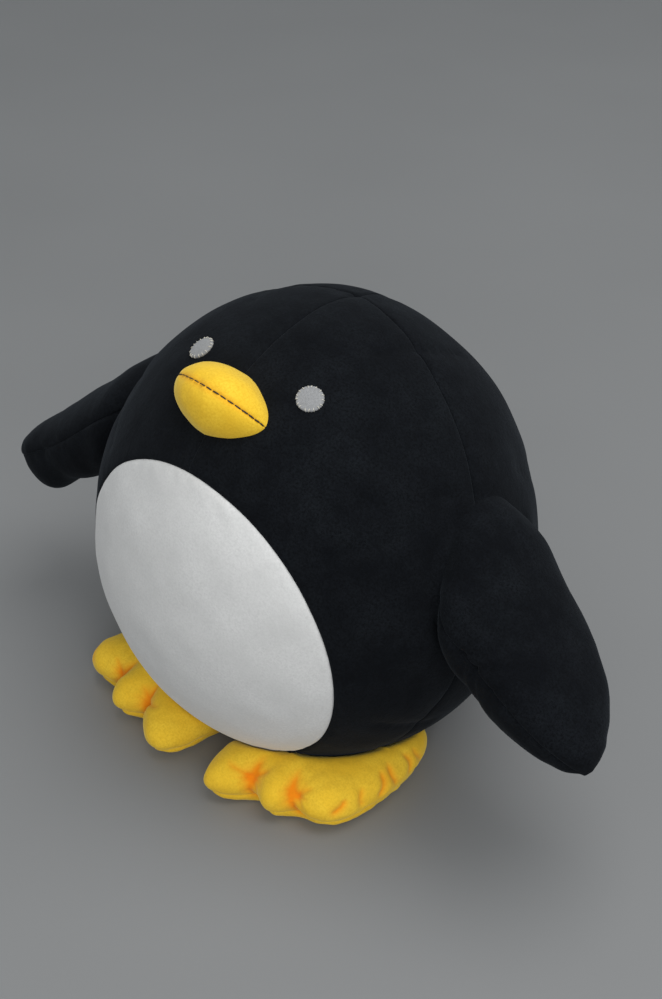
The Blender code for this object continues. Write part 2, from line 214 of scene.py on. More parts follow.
def grid_faces(rows, columns, wrap):
    """Quads between the points of a grid stored row by row."""
    across = columns if wrap else columns - 1
    faces = []
    for row in range(rows - 1):
        for column in range(across):
            after = (column + 1) % columns
            here, above = row * columns, (row + 1) * columns
            faces.append((here + column, here + after, above + after, above + column))
    return faces


def turn_outward(obj):
    bm = bmesh.new()
    bm.from_mesh(obj.data)
    bmesh.ops.recalc_face_normals(bm, faces=bm.faces)
    bm.to_mesh(obj.data)
    bm.free()


def vertex_normals(points, faces):
    mesh = bpy.data.meshes.new("normals")
    mesh.from_pydata(points.tolist(), [], faces)
    normals = np.empty(len(points) * 3, np.float32)
    mesh.vertices.foreach_get("normal", normals)
    bpy.data.meshes.remove(mesh)
    return normals.reshape(-1, 3).astype(float)


def thicken(obj, thickness):
    solid = obj.modifiers.new("fabric", "SOLIDIFY")
    solid.thickness = thickness
    solid.offset = -1.0
    solid.use_quality_normals = True


def store_value(obj, name, values):
    attribute = obj.data.attributes.new(name, "FLOAT", "POINT")
    attribute.data.foreach_set("value", np.asarray(values, np.float32))


def place(obj, material, node, body, blend=None):
    """Gives a piece its material and hides its solid. It ties the piece to its body, or, when a blend is
    given, bakes its place into its mesh instead.
    """
    obj.data.materials.append(material)
    if blend:
        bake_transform(obj)
    else:
        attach(obj, body)
    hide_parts(node)


# ---------------------------------------------------------------- materials


def principled(name, roughness):
    material = bpy.data.materials.new(name)
    material.use_nodes = True
    tree = material.node_tree
    shader = tree.nodes["Principled BSDF"]
    shader.inputs["Roughness"].default_value = roughness
    return material, tree, shader


def add_node(tree, kind, **settings):
    node = tree.nodes.new(kind)
    for name, value in settings.items():
        if name in node.inputs:
            node.inputs[name].default_value = value
        else:
            setattr(node, name, value)
    return node


def noise_at(tree, scale, detail=2.0, roughness=0.5, stretch=None):
    coordinates = add_node(tree, "ShaderNodeTexCoord")
    noise = add_node(tree, "ShaderNodeTexNoise", Scale=scale, Detail=detail, Roughness=roughness)
    source = coordinates.outputs["Object"]
    if stretch:
        mapping = add_node(tree, "ShaderNodeMapping", Scale=stretch)
        tree.links.new(source, mapping.inputs["Vector"])
        source = mapping.outputs["Vector"]
    tree.links.new(source, noise.inputs["Vector"])
    return noise.outputs["Fac"]


def blend_colours(tree, factor, low, high, first, second):
    """A colour that runs from the first to the second as the factor goes from low to high."""
    ramp = add_node(tree, "ShaderNodeMapRange")
    ramp.inputs["From Min"].default_value = low
    ramp.inputs["From Max"].default_value = high
    tree.links.new(factor, ramp.inputs["Value"])
    mix = add_node(tree, "ShaderNodeMix", data_type="RGBA")
    colour_inputs = [socket for socket in mix.inputs if socket.type == "RGBA"]
    for socket, colour in zip(colour_inputs, (first, second)):
        if isinstance(colour, tuple):
            socket.default_value = (*colour, 1.0)
        else:
            tree.links.new(colour, socket)
    tree.links.new(ramp.outputs["Result"], mix.inputs["Factor"])
    return next(socket for socket in mix.outputs if socket.type == "RGBA")


def add_bumps(tree, shader, layers):
    """Fine relief from several noises, each with its strength and its height."""
    normal = None
    for factor, strength, height in layers:
        relief = add_node(tree, "ShaderNodeBump", Strength=strength, Distance=height)
        tree.links.new(factor, relief.inputs["Height"])
        if normal:
            tree.links.new(normal, relief.inputs["Normal"])
        normal = relief.outputs["Normal"]
    tree.links.new(normal, shader.inputs["Normal"])


def plush(name, dark, light, sheen, sheen_tint, painted_crease_shade=None, pile=1.0, depth=0.7):
    """Short plush: a soft sheen, a pile of fine tufts with painted shade between them, patches where the
    nap lies over, and painted shade in the creases when a crease colour is given.
    """
    material, tree, shader = principled(name, 0.95)
    shader.inputs["Specular IOR Level"].default_value = 0.12
    shader.inputs["Sheen Weight"].default_value = sheen
    shader.inputs["Sheen Roughness"].default_value = 0.42
    shader.inputs["Sheen Tint"].default_value = (*sheen_tint, 1.0)
    nap = noise_at(tree, 34.0, detail=5.0, roughness=0.66)
    colour = blend_colours(tree, nap, 0.36, 0.66, dark, light)
    tufts = noise_at(tree, 700.0, detail=3.0, roughness=0.7)
    # The colour darkens between the tufts, where their bump is lowest: painted shade in the pile, as dark
    # as depth times the dark colour.
    shade = blend_colours(tree, tufts, 0.30, 0.60, tuple(depth * part for part in dark), colour)
    # The crease attribute blends the colour towards the crease colour: painted shade in seams, folds and
    # dimples.
    if painted_crease_shade:
        crease_shade = add_node(tree, "ShaderNodeAttribute", attribute_name="crease")
        shade = blend_colours(tree, crease_shade.outputs["Fac"], 0.05, 1.0, shade, painted_crease_shade)
    tree.links.new(shade, shader.inputs["Base Color"])
    streaks = noise_at(tree, 240.0, detail=2.0, stretch=(1.0, 1.0, 0.35))
    add_bumps(tree, shader, ((streaks, 0.22 * pile, 0.0012), (tufts, 0.45 * pile, 0.0007)))
    return material


def felt(name):
    material, tree, shader = principled(name, 1.0)
    shader.inputs["Sheen Weight"].default_value = 0.2
    fibres = noise_at(tree, 900.0, detail=4.0, roughness=0.75)
    colour = blend_colours(tree, fibres, 0.3, 0.7, (0.21, 0.214, 0.218), (0.32, 0.324, 0.328))
    tree.links.new(colour, shader.inputs["Base Color"])
    add_bumps(tree, shader, ((fibres, 0.5, 0.0004),))
    return material


def thread(name, dark, light):
    material, tree, shader = principled(name, 0.7)
    twist = noise_at(tree, 2200.0, detail=1.0)
    colour = blend_colours(tree, twist, 0.35, 0.65, dark, light)
    tree.links.new(colour, shader.inputs["Base Color"])
    add_bumps(tree, shader, ((twist, 0.4, 0.0002),))
    return material


def fibre_fill(name):
    material, tree, shader = principled(name, 1.0)
    shader.inputs["Sheen Weight"].default_value = 0.5
    strands = noise_at(tree, 160.0, detail=6.0, roughness=0.8)
    colour = blend_colours(tree, strands, 0.3, 0.7, (0.70, 0.70, 0.68), (0.93, 0.93, 0.92))
    tree.links.new(colour, shader.inputs["Base Color"])
    add_bumps(tree, shader, ((strands, 0.8, 0.003),))
    return material


def make_materials():
    # Each depth sets how dark the painted shade between the tufts is.
    return {
        "black_plush": plush(
            "black_plush", (0.0022, 0.0030, 0.0046), (0.0066, 0.0083, 0.0108), 0.037, (0.58, 0.70, 0.85),
            depth=0.55,
        ),
        "white_plush": plush(
            "white_plush", (0.62, 0.62, 0.61), (0.68, 0.68, 0.67), 0.25, (1.0, 1.0, 1.0),
            pile=0.35, depth=0.93,
        ),
        "yellow_plush": plush(
            "yellow_plush", (0.86, 0.52, 0.030), (0.92, 0.61, 0.048), 0.55, (1.0, 0.84, 0.30),
            # The orange crease colour is painted shade for the folds, dimples and mouth seam.
            painted_crease_shade=(0.88, 0.27, 0.008), pile=0.45, depth=0.90,
        ),
        "grey_felt": felt("grey_felt"),
        "black_thread": thread("black_thread", (0.008, 0.007, 0.005), (0.03, 0.025, 0.02)),
        "cream_thread": thread("cream_thread", (0.60, 0.57, 0.47), (0.80, 0.77, 0.68)),
        "stuffing": fibre_fill("stuffing"),
    }


# ---------------------------------------------------------------- body


def seat_height(y):
    return FOOT_SPACE * (1 - smooth_step(SEAT_FRONT, SEAT_BACK, y))


def body_points(azimuth, elevation, inset=0.0):
    """Points of the body's skin: azimuth 0 is the front, elevation 90 degrees is the crown."""
    up = np.sin(elevation)
    out = np.cos(elevation) * (1 - BODY_PEAR * up)
    sideways, forward = out * np.sin(azimuth), -out * np.cos(azimuth)
    unit = np.stack((sideways, forward, np.broadcast_to(up, sideways.shape)), axis=-1)
    points = BODY_CENTRE + turn_x(unit * (BODY_HALVES - inset), -BODY_LEAN)
    behind = smooth_step(SEAT_FRONT, SEAT_BACK, points[..., 1])
    points[..., 2] -= SEAT_SAG * behind * (1 - smooth_step(SAG_LOW, SAG_HIGH, points[..., 2]))
    points[..., 2] = np.maximum(points[..., 2], seat_height(points[..., 1]) + inset)
    return points


def body_grid(columns, rows, inset=0.0):
    azimuth = math.tau * np.arange(columns) / columns
    elevation = math.pi * np.arange(1, rows) / rows - math.pi / 2
    points = body_points(azimuth[None, :], elevation[:, None], inset).reshape(-1, 3)
    faces = grid_faces(rows - 1, columns, wrap=True)
    bottom, crown = len(points), len(points) + 1
    last = (rows - 2) * columns
    for column in range(columns):
        after = (column + 1) % columns
        faces.append((after, column, bottom))
        faces.append((last + column, last + after, crown))
    poles = [body_points(np.array(0.0), np.array(pole), inset) for pole in (-math.pi / 2, math.pi / 2)]
    return np.vstack((points, poles)), faces


def outside_body(points):
    """About how far points are outside the body's skin."""
    local = turn_x(points - BODY_CENTRE, BODY_LEAN)
    share = np.linalg.norm(local / BODY_HALVES, axis=-1)
    return (share - 1) * np.linalg.norm(local, axis=-1)


def seam_planes():
    """The planes of the body's seams: a point on each, and its direction."""
    planes = {
        "middle": ((0.0, 0.0, 0.0), (1.0, 0.0, 0.0)),
        "belly": (
            (0.0, BELLY_PLANE, BODY_CENTRE[2]),
            (0.0, -math.cos(BELLY_TILT), -math.sin(BELLY_TILT)),
        ),
    }
    for side, name in SIDES:
        out = np.array((side * math.cos(SIDE_SEAM_AZIMUTH), math.sin(SIDE_SEAM_AZIMUTH), 0.0))
        planes[name] = (tuple(BODY_CENTRE), tuple(turn_x(out, -SIDE_SEAM_LEAN)))
    return {name: (np.array(point), np.array(way)) for name, (point, way) in planes.items()}


def dart_plane(dart, side):
    """The plane of a dart, sewn between two places on the skin, and the dart's two ends."""
    ends = [
        body_points(np.array(side * math.radians(azimuth)), np.array(math.radians(elevation)))
        for azimuth, elevation in dart
    ]
    across = np.cross(ends[0] - BODY_CENTRE, ends[1] - BODY_CENTRE)
    return BODY_CENTRE, across / np.linalg.norm(across), ends


def add_loops(bm, point, way):
    for offset in LOOPS:
        geometry = bm.verts[:] + bm.edges[:] + bm.faces[:]
        place_at = Vector(point) + Vector(way) * offset * MM
        bmesh.ops.bisect_plane(bm, geom=geometry, dist=1e-7, plane_co=place_at, plane_no=Vector(way))


def sewn_body():
    """The body's whole surface with loops along each seam, and its points and faces."""
    points, faces = body_grid(BODY_COLUMNS, BODY_ROWS)
    mesh = bpy.data.meshes.new("body_surface")
    mesh.from_pydata(points.tolist(), [], faces)
    bm = bmesh.new()
    bm.from_mesh(mesh)
    bpy.data.meshes.remove(mesh)
    for point, way in seam_planes().values():
        add_loops(bm, point, way)
    bmesh.ops.remove_doubles(bm, verts=bm.verts, dist=0.12 * MM)
    bmesh.ops.recalc_face_normals(bm, faces=bm.faces)
    bm.verts.index_update()
    points = np.array([vert.co for vert in bm.verts])
    faces = [tuple(vert.index for vert in face.verts) for face in bm.faces]
    bm.free()
    return points, faces


def sculpt_body(points, normals):
    """Seams that pull in, darts, puckers, the dents round the wings and slow lumps of filling."""
    height = 0.55 * MM * ripple(points, 0.085, 3) + 0.22 * MM * ripple(points, 0.030, 4)
    nearest = np.full(len(points), 1.0)
    belly_point, belly_way = seam_planes()["belly"]
    off_belly = 1 - smooth_step(-0.012, -0.002, (points - belly_point) @ belly_way)
    for name, (point, way) in seam_planes().items():
        distance = (points - point) @ way
        if name == "belly":
            within = np.ones(len(points))
        elif name == "middle":
            within = off_belly
        else:
            within = smooth_step(-0.004, 0.0, points[:, 0] * (1 if name == "left" else -1))
        depth = SEAM_DEPTHS[name] * MM
        height -= within * depth * (crease(distance, 1.2 * MM) + 0.45 * bump(distance, 9 * MM))
        nearest = np.where(within > 0.5, np.minimum(nearest, np.abs(distance)), nearest)
    puckers = ripple(points, 0.011, 5) * np.exp(-nearest / 0.009) * (1 - np.exp(-nearest / 0.0012))
    height += 0.30 * MM * puckers
    for side, _ in SIDES:
        for dart in DARTS:
            point, way, (start, end) = dart_plane(dart, side)
            along = (points - start) @ (end - start) / np.dot(end - start, end - start)
            inside = smooth_step(-0.05, 0.30, along) * (1 - smooth_step(0.95, 1.10, along))
            distance = (points - point) @ way
            height -= inside * MM * (1.3 * crease(distance, 2.0 * MM) + 0.9 * bump(distance, 9 * MM))
        hinge, along, rearward, upward = wing_axes(side)
        local = points - hinge
        reach = local @ along
        outline = np.hypot((local @ rearward - 0.001) / 0.043, local @ upward / 0.031)
        near = smooth_step(-0.02, 0.0, reach)
        height -= near * MM * (2.6 * bump(outline - 1.02, 0.16) + 1.4 * crease(outline - 1.0, 0.035))
    moved = points + normals * height[:, None]
    moved[:, 2] = np.maximum(moved[:, 2], np.minimum(points[:, 2], seat_height(points[:, 1])))
    return moved


def make_body(materials):
    points, faces = sewn_body()
    moved = sculpt_body(points, vertex_normals(points, faces))
    planes = seam_planes()
    centres = np.array([points[list(face)].mean(axis=0) for face in faces])
    ahead = {name: (centres - point) @ way for name, (point, way) in planes.items()}
    belly = ahead["belly"] > 0
    owners = [("belly_panel", "white_plush", belly)]
    for side, name in SIDES:
        own_side = centres[:, 0] * side > 0
        back = own_side & (ahead[name] > 0)
        front = own_side & ~back & ~belly
        owners.append((f"body_front_{name}_panel", "black_plush", front))
        owners.append((f"body_back_{name}_panel", "black_plush", back & ~belly))
    for node, slot, mine in owners:
        own_faces = [faces[i] for i in np.flatnonzero(mine)]
        used = np.unique([i for face in own_faces for i in face])
        renumber = {old: new for new, old in enumerate(used)}
        own_faces = [tuple(renumber[i] for i in face) for face in own_faces]
        piece = new_object(f"{node}_plush", moved[used], own_faces)
        thicken(piece, BLACK_FABRIC)
        place(piece, materials[slot], node, "body")
    fill_points, fill_faces = body_grid(120, 60, BODY_FILL_INSET)
    lumps = ripple(fill_points, 0.03, 9)[:, None] * vertex_normals(fill_points, fill_faces)
    fill = new_object("body_fibre_filling", fill_points - 0.5 * MM * np.abs(lumps), fill_faces)
    turn_outward(fill)
    place(fill, materials["stuffing"], "body_stuffing", "body")
    return BVHTree.FromPolygons(moved.tolist(), faces)


# ---------------------------------------------------------------- face


def surface_frame(azimuth, elevation):
    """A place on the skin and its axes: sideways, upward along the skin, and outward."""
    step = 1e-3
    here, across, above = (
        body_points(np.array(azimuth + right), np.array(elevation + up))
        for right, up in ((0, 0), (step, 0), (0, step))
    )
    outward = np.cross(across - here, above - here)
    outward /= np.linalg.norm(outward)
    sideways = np.cross((0.0, 0.0, 1.0), outward)
    sideways /= np.linalg.norm(sideways)
    return here, sideways, np.cross(outward, sideways), outward


def capsule(points, radius, sides=8):
    """A short length of thread with round ends, as points and faces."""
    points = np.asarray(points, float)
    steps = len(points)
    rings = []
    for i, point in enumerate(points):
        way = points[min(i + 1, steps - 1)] - points[max(i - 1, 0)]
        way /= np.linalg.norm(way)
        across = np.cross(way, (0.31, 0.17, 0.93))
        across /= np.linalg.norm(across)
        other = np.cross(way, across)
        share = i / (steps - 1)
        width = radius * math.sqrt(max(0.04, 1 - abs(2 * share - 1) ** 6))
        angles = math.tau * np.arange(sides) / sides
        rings.append(point + width * (np.cos(angles)[:, None] * across + np.sin(angles)[:, None] * other))
    faces = grid_faces(steps, sides, wrap=True)
    faces.append(tuple(range(sides - 1, -1, -1)))
    faces.append(tuple((steps - 1) * sides + i for i in range(sides)))
    return np.vstack(rings), faces


def threads(name, paths, radii):
    """Several short threads as one object."""
    points, faces = [], []
    count = 0
    for path, radius in zip(paths, radii):
        own_points, own_faces = capsule(path, radius)
        points.append(own_points)
        faces += [tuple(i + count for i in face) for face in own_faces]
        count += len(own_points)
    obj = new_object(name, np.vstack(points), faces)
    turn_outward(obj)
    return obj


def make_eye(side, name, materials, skin):
    centre, sideways, upward, outward = surface_frame(side * EYE_AZIMUTH, EYE_ELEVATION)

    def on_skin(radius, angle, height):
        flat = centre + radius * (sideways * math.cos(angle) + upward * math.sin(angle))
        hit = skin.ray_cast(Vector(flat + 0.02 * outward), Vector(-outward))[0]
        return np.array(hit) + height * outward

    rng = np.random.default_rng(31 + side)
    spokes = 96
    wobble = 0.10 * MM * ripple(np.array([(i * 0.4, side, 0.0) for i in range(spokes)]), 2.0, 12)
    top = EYE_THICKNESS
    profile = ((0.25, top + 0.0003), (0.55, top + 0.0002), (0.80, top), (0.93, top - 0.0001),
               (0.985, top - 0.0004), (1.0, top - 0.0008), (0.99, -0.0004))
    points = [on_skin(0.0, 0.0, top + 0.0003)]
    for share, height in profile:
        for spoke in range(spokes):
            angle = math.tau * spoke / spokes
            dent = 0.10 * MM * math.cos(EYE_STITCHES * angle) * smooth_step(0.7, 1.0, share)
            points.append(on_skin(share * (EYE_RADIUS + wobble[spoke]) - dent, angle, height - abs(dent)))
    points.append(on_skin(0.0, 0.0, -0.0004))
    faces = [(0, 1 + i, 1 + (i + 1) % spokes) for i in range(spokes)]
    faces += [tuple(i + 1 for i in face) for face in grid_faces(len(profile), spokes, wrap=True)]
    last = 1 + (len(profile) - 1) * spokes
    faces += [(last + (i + 1) % spokes, last + i, len(points) - 1) for i in range(spokes)]
    disc = new_object(f"eye_{name}_felt_disc", points, faces)
    turn_outward(disc)
    place(disc, materials["grey_felt"], f"eye_{name}_felt", "body")

    paths = []
    for stitch in range(EYE_STITCHES):
        angle = math.tau * (stitch + 0.25 * rng.uniform(-1, 1)) / EYE_STITCHES
        lean = 0.05 * rng.uniform(-1, 1)
        steps = ((-1.45, top + 0.0001), (-1.1, top + 0.0003), (-0.6, top + 0.0003),
                 (-0.15, top + 0.0001), (0.16, top - 0.0006), (0.2, -0.0002))
        paths.append([
            on_skin(EYE_RADIUS + out * MM, angle + lean * out, height) for out, height in steps
        ])
    stitches = threads(f"eye_{name}_whipstitches", paths, [EYE_THREAD_RADIUS] * EYE_STITCHES)
    place(stitches, materials["cream_thread"], f"eye_{name}_stitching", "body")


def beak_frame():
    """The beak's centre and its axes, tilted a little lower on the left side."""
    centre, sideways, upward, outward = surface_frame(0.0, BEAK_ELEVATION)
    cos, sin = math.cos(BEAK_TILT), math.sin(BEAK_TILT)
    return centre, sideways * cos - upward * sin, upward * cos + sideways * sin, outward


def beak_points(along, around, inset=0.0):
    """Points of the beak: along from corner to corner, and around, 0 at the mouth and positive above."""
    centre, sideways, upward, outward = beak_frame()
    fullness = np.maximum(np.sin(along), 0) ** BEAK_POINT
    reach = (BEAK_REACH + BEAK_SINK - inset) * fullness
    half_height = (BEAK_HALF_HEIGHT - inset) * fullness
    half_width = BEAK_HALF_WIDTH - 1.5 * inset
    return (
        centre - BEAK_SINK * outward + BEAK_OFFSET * sideways
        - (half_width * np.cos(along))[..., None] * sideways
        + (reach * np.cos(around))[..., None] * outward
        + (half_height * np.sin(around))[..., None] * upward
    )


def sculpt_beak(points, normals, around):
    """The mouth seam's groove, puckers along it, and slow lumps of filling."""
    opening = np.abs(np.sin(around)) * BEAK_HALF_HEIGHT
    front = np.cos(around) > -0.5
    height = 0.35 * MM * ripple(points, 0.028, 21) + 0.12 * MM * ripple(points, 0.010, 22)
    groove = crease(opening, 0.9 * MM) * front
    height -= 0.7 * MM * groove + 0.35 * MM * bump(opening, 4 * MM) * front
    height += 0.22 * MM * ripple(points, 0.007, 23, stretch=(1.0, 0.3, 0.3)) * bump(opening, 5 * MM)
    return points + normals * height[:, None]


def make_beak(materials):
    _, _, upward, outward = beak_frame()
    slices, half_turns = 96, 40
    along = np.linspace(0.02, math.pi - 0.02, slices)
    spread = np.linspace(0, 1, half_turns)
    for name, way in (("upper", 1), ("lower", -1)):
        # The columns crowd towards the mouth seam.
        around = way * BEAK_WRAP * spread**1.7
        long, turn = (grid.ravel() for grid in np.meshgrid(along, around, indexing="ij"))
        points = beak_points(long, turn)
        faces = grid_faces(slices, half_turns, wrap=False)
        normals = vertex_normals(points, faces) * -way
        if np.mean(normals[turn == 0.0] @ outward) < 0:
            normals = -normals
        moved = sculpt_beak(points, normals, turn)
        panel = new_object(f"beak_{name}_panel_plush", moved, faces)
        face_out(panel, normals)
        # Painted shade along the groove of the mouth seam, for the yellow plush's crease colour.
        store_value(panel, "crease", 0.35 * bump(np.abs(turn), 0.16))
        thicken(panel, YELLOW_FABRIC)
        place(panel, materials["yellow_plush"], f"beak_{name}_panel", "body")
    rings = 40
    along = np.linspace(0.03, math.pi - 0.03, rings)
    around = math.tau * np.arange(rings) / rings
    long, turn = (grid.ravel() for grid in np.meshgrid(along, around, indexing="ij"))
    points = beak_points(long, turn, BEAK_FILL_INSET)
    faces = grid_faces(rings, rings, wrap=True)
    faces.append(tuple(range(rings)))
    faces.append(tuple((rings - 1) * rings + i for i in range(rings)))
    fill = new_object("beak_fibre_filling", points, faces)
    turn_outward(fill)
    place(fill, materials["stuffing"], "beak_stuffing", "body")

    rng = np.random.default_rng(44)
    stitch_length = (MOUTH_END - MOUTH_START) / MOUTH_STITCHES
    paths = []
    for stitch in range(MOUTH_STITCHES):
        # The stitches grow longer and closer from the right corner of the mouth to the left one.
        gap = max(0.24 - 0.26 * stitch / MOUTH_STITCHES + 0.08 * rng.uniform(-1, 1), 0)
        first = MOUTH_START + stitch_length * (stitch + gap / 2)
        last = MOUTH_START + stitch_length * (stitch + 1 - gap / 2)
        path = []
        for share in np.linspace(0, 1, 7):
            place_on = beak_points(np.array(first + (last - first) * share), np.array(0.0))
            sink = 0.50 * MM + 0.35 * MM * abs(2 * share - 1) ** 3
            tilt = 0.10 * MM * (1 if stitch % 2 else -1) * (2 * share - 1)
            path.append(place_on - sink * outward + tilt * upward)
        paths.append(path)
    radii = np.linspace(*MOUTH_THREAD_RADII, MOUTH_STITCHES) * MM
    line = threads("beak_mouth_backstitches", paths, radii)
    place(line, materials["black_thread"], "beak_mouth_thread", "body")


def face_out(obj, normals):
    """Turns the faces of an open sheet to the side of the given outward directions."""
    own = np.empty(len(obj.data.vertices) * 3, np.float32)
    obj.data.vertices.foreach_get("normal", own)
    if (own.reshape(-1, 3) * normals).sum() < 0:
        obj.data.flip_normals()


# ---------------------------------------------------------------- wings


def wing_axes(side):
    """The wing's hinge, and its directions outward, rearward and up."""
    cos_sweep, sin_sweep = math.cos(WING_SWEEP), math.sin(WING_SWEEP)
    cos_droop, sin_droop = math.cos(WING_DROOP), math.sin(WING_DROOP)
    along = Vector((side * cos_sweep * cos_droop, -sin_sweep * cos_droop, -sin_droop))
    rearward = Vector((side * sin_sweep, cos_sweep, 0.0))
    rearward = Matrix.Rotation(-side * WING_TWIST, 3, along) @ rearward
    upward = along.cross(rearward) * side
    hinge = WING_HINGE * np.array((side, 1, 1))
    return hinge, np.array(along), np.array(rearward), np.array(upward)


def wing_points(side, distance, angle, inset=0.0):
    """Points of the wing's skin: angle 0 is its rear edge, 90 degrees its top."""
    hinge, along, rearward, upward = wing_axes(side)
    reach = WING_STATIONS[:, 0]
    front, rear, over, under = (through(reach, WING_STATIONS[:, i], distance) for i in (1, 2, 3, 4))
    blunt = smooth_step(0.100, 0.135, distance) * (1 - smooth_step(0.1430, 0.1460, distance))
    under = under + TIP_FULLNESS[side] * blunt
    front = front - TIP_BREADTH[side] * blunt
    lift = SEAM_LIFT[side] * (1 - smooth_step(0.02, 0.10, distance))
    over, under = over - lift, under + lift
    half_width = np.maximum((rear - front) / 2 - inset, 0.0004)
    cos, sin = np.cos(angle), np.sin(angle)
    # The underside is the fuller one: it bellies out beside the seam.
    square = np.where(sin < 0, UNDERSIDE_SQUARENESS, 1.0)
    sideways = (front + rear) / 2 + half_width * np.sign(cos) * np.abs(cos) ** square
    rise = np.maximum(np.where(sin < 0, under, over) - inset, 0.0004) * np.sign(sin) * np.abs(sin) ** square
    return (
        hinge + distance[..., None] * along
        + sideways[..., None] * rearward + (rise + lift)[..., None] * upward
    )


def sculpt_wing(side, points, normals, distance, angle, edge_gap):
    """Pinched in where it is sewn to the body and along its seam, with puckers and soft folds."""
    tip = smooth_step(0.136, 0.146, distance)
    height = 0.50 * MM * ripple(points, 0.060, 51 + side) + 0.22 * MM * ripple(points, 0.020, 53 + side)
    height -= MM * (4.0 * bump(outside_body(points), 0.007) + 1.2 * crease(outside_body(points), 0.0015))
    height += 2.6 * MM * bump(outside_body(points) - 0.019, 0.012)
    height -= (1 - tip) * MM * (1.0 * crease(edge_gap, 1.2 * MM) + 0.5 * bump(edge_gap, 7 * MM))
    puckers = ripple(points, 0.010, 55 + side) * np.exp(-edge_gap / 0.008)
    height += 0.35 * MM * puckers * (1 - np.exp(-edge_gap / 0.001)) * (1 - tip)
    under = np.sin(angle) < 0
    fold_lines = np.sin(distance / 0.0052 + 1.5 * np.sin(distance / 0.013))
    gathers = fold_lines * np.exp(-edge_gap / 0.012) * smooth_step(0.0, 0.003, edge_gap)
    height += 0.38 * MM * gathers * under * (1 - smooth_step(0.10, 0.13, distance))
    front = np.cos(angle) < 0
    for start, depth in WING_WRINKLES[side]:
        wrinkle = distance - start - 0.6 * edge_gap
        height -= depth * MM * bump(wrinkle, 2.3 * MM) * np.exp(-edge_gap / 0.014) * front
    return points + normals * height[:, None]


def make_wing(side, name, materials):
    slices, turns = 130, 64
    hinge, along, _, _ = wing_axes(side)
    bend = [tuple(hinge + reach * along) for reach in WING_BEND]
    steps = np.sin(np.linspace(0, 1, slices) * math.pi / 2 * 0.985) / math.sin(math.pi / 2 * 0.985)
    reach = WING_ROOT + (WING_STATIONS[-1, 0] - WING_ROOT) * steps
    # The columns crowd towards both edges, where the seam is.
    half_turn = np.linspace(0, math.pi, turns)
    half_turn = half_turn - 0.42 * np.sin(2 * half_turn) / 2
    for half_name, way in (("upper", 1), ("lower", -1)):
        distance, angle = (
            each.ravel() for each in np.meshgrid(reach, way * half_turn, indexing="ij")
        )
        points = wing_points(side, distance, angle)
        faces = grid_faces(slices, turns, wrap=False)
        normals = vertex_normals(points, faces)
        grid = points.reshape(slices, turns, 3)
        outward = (grid - (grid[:, :1] + grid[:, -1:]) / 2).reshape(-1, 3)
        if (normals * outward).sum() < 0:
            normals = -normals
        to_edge = [np.linalg.norm(grid - grid[:, i:i + 1], axis=2) for i in (0, turns - 1)]
        edge_gap = np.minimum(*to_edge).ravel()
        moved = sculpt_wing(side, points, normals, distance, angle, edge_gap)
        # The tip closes on the middle of its end.
        end = moved.reshape(slices, turns, 3)[-1]
        end[:] = (end[0] + end[-1]) / 2
        panel = new_object(f"wing_{name}_{half_name}_panel_plush", moved, faces)
        face_out(panel, normals)
        thicken(panel, BLACK_FABRIC)
        node = f"wing_{name}_{half_name}_panel"
        place(panel, materials["black_plush"], node, f"wing_{name}", bend)
    rows, columns = 50, 40
    reach = np.linspace(WING_FILL_START, WING_STATIONS[-1, 0] - WING_FILL_END_GAP, rows)
    around = math.tau * np.arange(columns) / columns
    distance, angle = (each.ravel() for each in np.meshgrid(reach, around, indexing="ij"))
    faces = grid_faces(rows, columns, wrap=True)
    faces.append(tuple(range(columns)))
    faces.append(tuple((rows - 1) * columns + i for i in range(columns)))
    points = wing_points(side, distance, angle, LIMB_FILL_INSET)
    fill = new_object(f"wing_{name}_fibre_filling", points, faces)
    turn_outward(fill)
    node = f"wing_{name}_stuffing"
    place(fill, materials["stuffing"], node, f"wing_{name}", bend)


# ---------------------------------------------------------------- feet


def turn_between(angle, direction):
    """The turn from a direction in degrees to an angle, between -pi and pi."""
    return (angle - math.radians(direction) + math.pi) % math.tau - math.pi


def foot_reach(side, angle):
    """The foot's outline from its centre: a rounded square with three toes on its front."""
    cos, sin = np.abs(np.cos(angle)), np.sin(angle)
    ahead, behind = (
        ((cos / FOOT_HALF_WIDTH) ** square + (np.abs(sin) / length) ** square) ** (-1 / square)
        for length, square in (
            (FOOT_FRONT_LENGTH, FOOT_FRONT_SQUARENESS), (FOOT_BACK_LENGTH, FOOT_BACK_SQUARENESS),
        )
    )
    reach = np.where(sin < 0, ahead, behind)
    for direction, out, inner_spread, outer_spread in TOES[side]:
        off = np.degrees(turn_between(angle, direction))
        reach = reach + out * bump(off, np.where(off < 0, inner_spread, outer_spread))
    return reach


def foot_folds(side):
    """Folds in the foot's skin where thread draws it in. Each has its start and its end, as a direction
    in degrees and a share of the way to the seam, then its depth and width and its valley's depth."""
    inner, outer = TOE_GAPS[side]
    return (
        ((inner - 4, 0.34), (inner + 1, 1.00), 2.4, 1.2, 2.7),
        ((outer - 4, 0.36), (outer + 1, 1.00), 2.4, 1.2, 2.7),
        ((inner, 0.66), (inner - 18, 0.46), 1.1, 1.1, 0.9),
        ((inner, 0.66), (inner + 11, 0.50), 0.9, 1.1, 0.5),
        ((outer, 0.66), (outer - 12, 0.58), 0.9, 1.0, 0.5),
        ((outer, 0.66), (outer + 12, 0.52), 0.9, 1.0, 0.5),
        ((-43, 0.76), (-37, 0.62), 1.7, 1.2, 1.0),
        ((-25, 0.80), (-20, 0.58), 1.1, 1.1, 0.9),
        ((-10, 0.82), (-5, 0.52), 1.5, 1.3, 1.1),
        ((4, 0.82), (7, 0.50), 1.5, 1.3, 1.1),
        ((18, 0.84), (19, 0.54), 1.4, 1.2, 1.0),
        ((31, 0.84), (30, 0.58), 1.1, 1.2, 0.8),
        ((-150, 0.84), (-148, 0.60), 1.1, 1.3, 0.9),
    )


